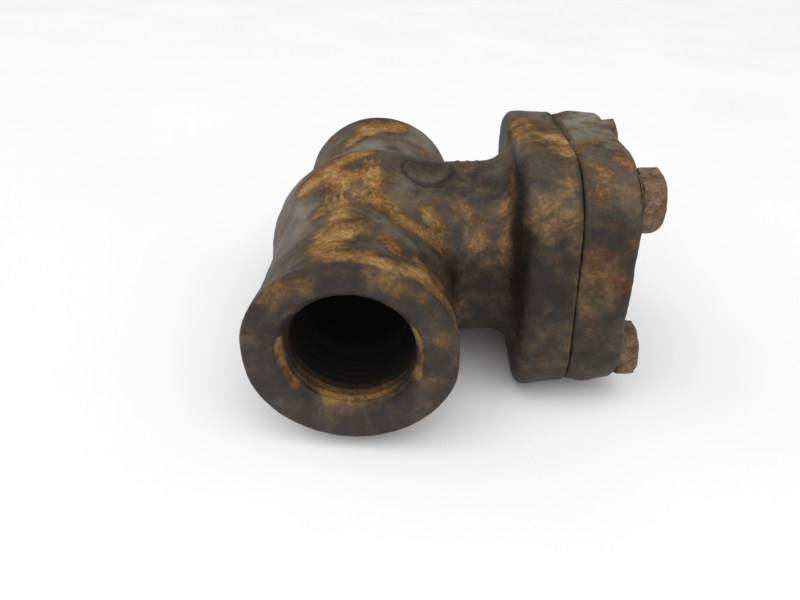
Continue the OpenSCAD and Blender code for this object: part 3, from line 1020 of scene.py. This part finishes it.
angle = around(64)
run = np.linspace(0.0, 1.0, 120) * (stem_high[0] - 0.6 - thread_x)
tooth = zigzag(run / STEM_PITCH - angle / (2 * math.pi))
shank = [0.0, STEM_R - 0.2, STEM_R - 0.02, STEM_R - 0.02]
shank_x = [stem_low[0], stem_low[0], stem_low[0] + 0.2, thread_x - 0.05]
radius = np.concatenate([column(shank, angle), STEM_R - 0.05 - 0.38 * tooth,
                         column([STEM_R - 0.6, 0.0], angle)], axis=1)
place = np.concatenate([column(shank_x, angle), column(thread_x + run, angle),
                        column([stem_high[0], stem_high[0]], angle)], axis=1)
stem = turned_piece("threaded_valve_stem", [(radius, place, ON_AXIS)])
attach(stem, "valve")
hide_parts("valve_stem")
print("stem:", len(stem.data.polygons), "faces")

# %% Nuts
NUT_AF = 7.0


def nut_shell(low, high, turn):
    """A hexagon with a 30 degree chamfer on both faces, and a bore with countersinks."""
    angle = around(96)
    corner = hexagon(angle, NUT_AF, math.radians(turn), NUT_AF * 0.575)
    inner = NUT_AF * 0.475
    drop = (corner - inner) * CHAMFER
    bore = STEM_R + 0.02
    radius = [column([bore, bore + 0.3, inner], angle), corner, corner,
              column([inner, bore + 0.3, bore], angle)]
    place = [column([low + 0.3, low, low], angle), low + drop, high - drop,
             column([high, high, high - 0.3], angle)]
    return np.concatenate(radius, axis=1), np.concatenate(place, axis=1), ON_AXIS


for name, node, turn in (("chamfered_adjusting_nut", "adjusting_nut", 0.0),
                         ("chamfered_lock_nut", "lock_nut", 12.0)):
    low, high = box_mm(node)
    nut = turned_piece(name, [nut_shell(low[0], high[0], turn)], wrap=True)
    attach(nut, "valve")
    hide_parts(node)

# %% Washers and cap
# What each rides on, and how far its edges are rounded
WASHERS = {"stack_base_washer": ("housing", 0.25), "stack_top_washer": ("valve", 0.25),
           "spring_cap": ("valve", 0.3)}


def washer_shell(low, high, bore, rim, edge):
    """A flat ring: four quarter circles of radius edge, joined by its faces and walls."""
    t = np.linspace(0.0, math.pi / 2, 5)
    along, out = edge * (1.0 - np.cos(t)), edge * (1.0 - np.sin(t))
    angle = around(96)
    radius = np.concatenate([bore + out[::-1], rim - out, rim - out[::-1], bore + out])
    place = np.concatenate([low + along[::-1], low + along, high - along[::-1], high - along])
    return column(radius, angle), column(place, angle), ON_AXIS


for node, (rider, edge) in WASHERS.items():
    low, high = box_mm(node)
    bore = STEM_R + (1.0 if node == "stack_base_washer" else 0.05)
    shell = washer_shell(low[0], high[0], bore, high[2], edge)
    washer = turned_piece("rounded_" + node, [shell], wrap=True)
    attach(washer, rider)
    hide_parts(node)

# %% Spring
spring_low, spring_high = box_mm("overload_spring")
WIRE_R = 0.5
COILS = 5


def spring_points():
    """A helix: a circle of wire carried round the axis, its first and last half turns flat.

    The wire's radius is 0 at one more station at each end, which closes it.
    """
    t = np.linspace(0.0, COILS, COILS * 48 + 1)
    t = np.concatenate([t[:1], t, t[-1:]])
    wire = np.full(t.size, WIRE_R)
    wire[[0, -1]] = 0.0
    angle = around(14)
    rise = np.clip((t - 0.5) / (COILS - 1.0), 0.0, 1.0)
    x = spring_low[0] + WIRE_R + rise * (spring_high[0] - spring_low[0] - 2 * WIRE_R)
    r = spring_high[2] - WIRE_R + wire * np.cos(angle)
    y = MID_Y + r * np.cos(2 * math.pi * t)
    z = r * np.sin(2 * math.pi * t)
    return np.stack([x + wire * np.sin(angle), y, z], axis=-1)


grid = spring_points()
spring = make_object("wound_overload_spring", grid.reshape(-1, 3), grid_faces(*grid.shape[:2]))
weld(spring)
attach(spring, "valve")
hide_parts("overload_spring")
print("spring:", len(spring.data.polygons), "faces")

# %% Wound gasket
winding_low, winding_high = box_mm("gasket_winding")
WINDING_IN = 18.1
PLIES = 5


def winding_shell():
    """Side by side V-shaped plies: the two faces zigzag a little from ply to ply."""
    angle = around(160)
    r = np.linspace(WINDING_IN, winding_high[2], PLIES * 4 + 1)
    dip = 0.09 * zigzag(np.arange(r.size) / 4.0)
    radius = np.concatenate([r, r[::-1]])
    place = np.concatenate([winding_low[0] + dip, winding_high[0] - dip[::-1]])
    return column(radius, angle), column(place, angle), ON_AXIS


winding = turned_piece("spiral_wound_gasket", [winding_shell()], wrap=True)
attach(winding, "housing")
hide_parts("gasket_winding")

# %% [markdown]
# ## Finishes of the inner works
#
# The tool's marks are fine rings round the neck's axis: a noise of the distance from
# it. Steam tints stainless steel straw and brown, which a blotchy noise adds. All are
# true metals, so they keep the default IOR, and differ in colour, roughness and ring
# spacing.


# %% Tinted metals
def tinted_metal(name, bright, tint, roughness, ring_mm, tint_low=0.42, tint_high=0.80):
    """A metal with fine rings about the neck's axis and blotches of steam tint."""
    material, tree, shader = new_material(name, roughness, metallic=1.0)
    place = add(tree, "TexCoord", {}).outputs["Object"]
    centred = add(tree, "Mapping", {"Vector": place, "Location": (0.0, -MID_Y * MM, 0.0)})
    axes = add(tree, "SeparateXYZ", {"Vector": centred.outputs["Vector"]}).outputs
    square = weighted(tree, 0.0, (axes["Y"], axes["Y"]), (axes["Z"], axes["Z"]))
    line = add(tree, "CombineXYZ", {"X": maths(tree, "SQRT", square), "Y": axes["X"]})
    rings = noise(tree, line.outputs["Vector"], ring_mm, 2.0)
    blotch = noise(tree, place, 3.0, 5.0, Roughness=0.62, Distortion=0.5)
    amount = spread(tree, blotch, tint_low, tint_high, kind="SMOOTHSTEP")
    colour = blend(tree, amount, hex_colour(bright), hex_colour(tint))
    colour = blend(tree, 1.0, colour, spread(tree, rings, 0.3, 0.7, 0.86, 1.08), "MULTIPLY")
    tree.links.new(colour, shader.inputs["Base Color"])
    rough = weighted(tree, roughness, (amount, 0.22))
    tree.links.new(rough, shader.inputs["Roughness"])
    relieve(tree, shader, rings, 0.3, 0.06)
    return material


def dress(material, *nodes):
    """Puts a material on carried-over nodes."""
    for node in nodes:
        mesh = frame["nodes"][node].data
        mesh.materials.clear()
        mesh.materials.append(material)


# Turned stainless steel: bright, with cutting rings, brown where steam stood
turned = tinted_metal("turned_stainless_steel", "#c2bdb4", "#8c7454", 0.30, 0.25)
# Hardened valve steel: darker and smoother, because it is ground
ground = tinted_metal("ground_hard_stainless", "#a9a59f", "#7c6a52", 0.22, 0.12)
# Rolled stainless sheet: a duller skin, with scale in the punched holes
rolled = tinted_metal("rolled_stainless_sheet", "#a8a196", "#6d5236", 0.42, 0.5)
# Bimetal discs: nickel steel tinted straw to brown by heat
bimetal = tinted_metal("heat_tinted_bimetal", "#a89a80", "#75583c", 0.34, 0.35, 0.36, 0.70)
# Patented spring wire: a dark drawn skin
wire = tinted_metal("dark_drawn_spring_wire", "#6f6a64", "#4b3a2c", 0.38, 0.3)
# Spiral-wound gasket: stainless strip between dark graphite, so nearly black rings
wound = tinted_metal("stainless_and_graphite_winding", "#77736d", "#2b2826", 0.5, 0.45, 0.35, 0.65)
# Plain steel centring ring: rusted brown all over
ring_steel = tinted_metal("brown_oxidised_ring_steel", "#6a5a4a", "#4a2f1e", 0.6, 0.6)
# Soft copper seat gasket: brown, with brighter scratches
copper = tinted_metal("oxidised_soft_copper", "#b0704c", "#5c3a28", 0.4, 0.4)

dress(ground, "valve_seat", "valve_plug")
dress(turned, "plug_pin")
dress(rolled, "strainer_screen", "screen_bottom_ring", "screen_top_ring")
dress(bimetal, *[n for n in frame["nodes"] if n.startswith("bimetal_pair_")])
dress(ring_steel, "gasket_outer_ring")
dress(copper, "seat_gasket")
for piece in bpy.data.objects:
    if piece.name in ("threaded_valve_stem", "chamfered_adjusting_nut", "chamfered_lock_nut"):
        piece.data.materials.append(turned)
    if piece.name.startswith("rounded_"):
        piece.data.materials.append(rolled)
spring.data.materials.append(wire)
winding.data.materials.append(wound)

# %% [markdown]
# ## Floor and light
#
# The trap lies on a pale table. It can't stand level: it rests on the middle of the
# run and on the flange's lower edge, so its neck points a little upwards from the
# table. The table's plane is found from the pieces: of all planes that lean about the
# run's direction and just touch the pieces from below, the trap settles on the one
# that brings its middle lowest. The light is that of a light tent: a wide ceiling,
# a weaker diffuser on each side, and a little from everywhere.

# %% Table
pieces_xz = np.concatenate([points_of(p)[:, [0, 2]] for p in (body, cover, bolts)])
middle = (body_low + cover_high)[[0, 2]] / 2
leans = np.radians(np.arange(0.0, 20.0, 0.1))
downs = np.stack([-np.sin(leans), -np.cos(leans)], axis=1)
reach = (pieces_xz @ downs.T).max(0)
height = reach - downs @ middle
lean = leans[height.argmin()]
down = downs[height.argmin()]
floor_at = Vector((down[0], 0.0, down[1])) * float(reach[height.argmin()]) * MM
print("table leans", round(math.degrees(lean), 1), "degrees")

table_mesh = bpy.data.meshes.new("table")
TABLE_HALF = 6.0
corners = [(TABLE_HALF * i, TABLE_HALF * j, 0.0) for i, j in ((-1, -1), (1, -1), (1, 1), (-1, 1))]
table_mesh.from_pydata(corners, [], [(0, 1, 2, 3)])
table = new_object("table", table_mesh)
table.matrix_world = Matrix.Translation(floor_at) @ Matrix.Rotation(lean, 4, "Y")
# Pale painted table: nearly white, so that the outline and the soft shadow stand out
paint, tree, shader = new_material("pale_painted_table", 0.55)
cloud = noise(tree, add(tree, "TexCoord", {}).outputs["Object"], 111.0, 3.0)
paint_colour = colour_ramp(tree, cloud, [(0.3, "#f9f9fa"), (0.7, "#fdfdfd")])
tree.links.new(paint_colour, shader.inputs["Base Color"])
table_mesh.materials.append(paint)

# %% Light
world = bpy.data.worlds.new("soft_studio")
bpy.context.scene.world = world
world.use_nodes = True
sky = world.node_tree.nodes["Background"].inputs
sky["Color"].default_value = (1.0, 1.0, 1.0, 1.0)
sky["Strength"].default_value = 0.24


def soft_sun(name, towards, width, strength):
    """Light from one direction of the sky, as wide as a large diffuser seen from the table."""
    data = bpy.data.lights.new(name, "SUN")
    data.angle = math.radians(width)
    data.energy = strength
    lamp = new_object(name, data)
    lamp.rotation_mode = "QUATERNION"
    lamp.rotation_quaternion = Vector(towards).to_track_quat("Z", "Y")


soft_sun("left_diffuser", (-0.8, -0.2, 0.7), 70, 0.7)
soft_sun("right_diffuser", (0.8, -0.3, 0.7), 70, 0.6)
soft_sun("ceiling", (0.0, -0.6, 1.0), 80, 2.15)
bpy.context.scene.view_settings.view_transform = "Standard"
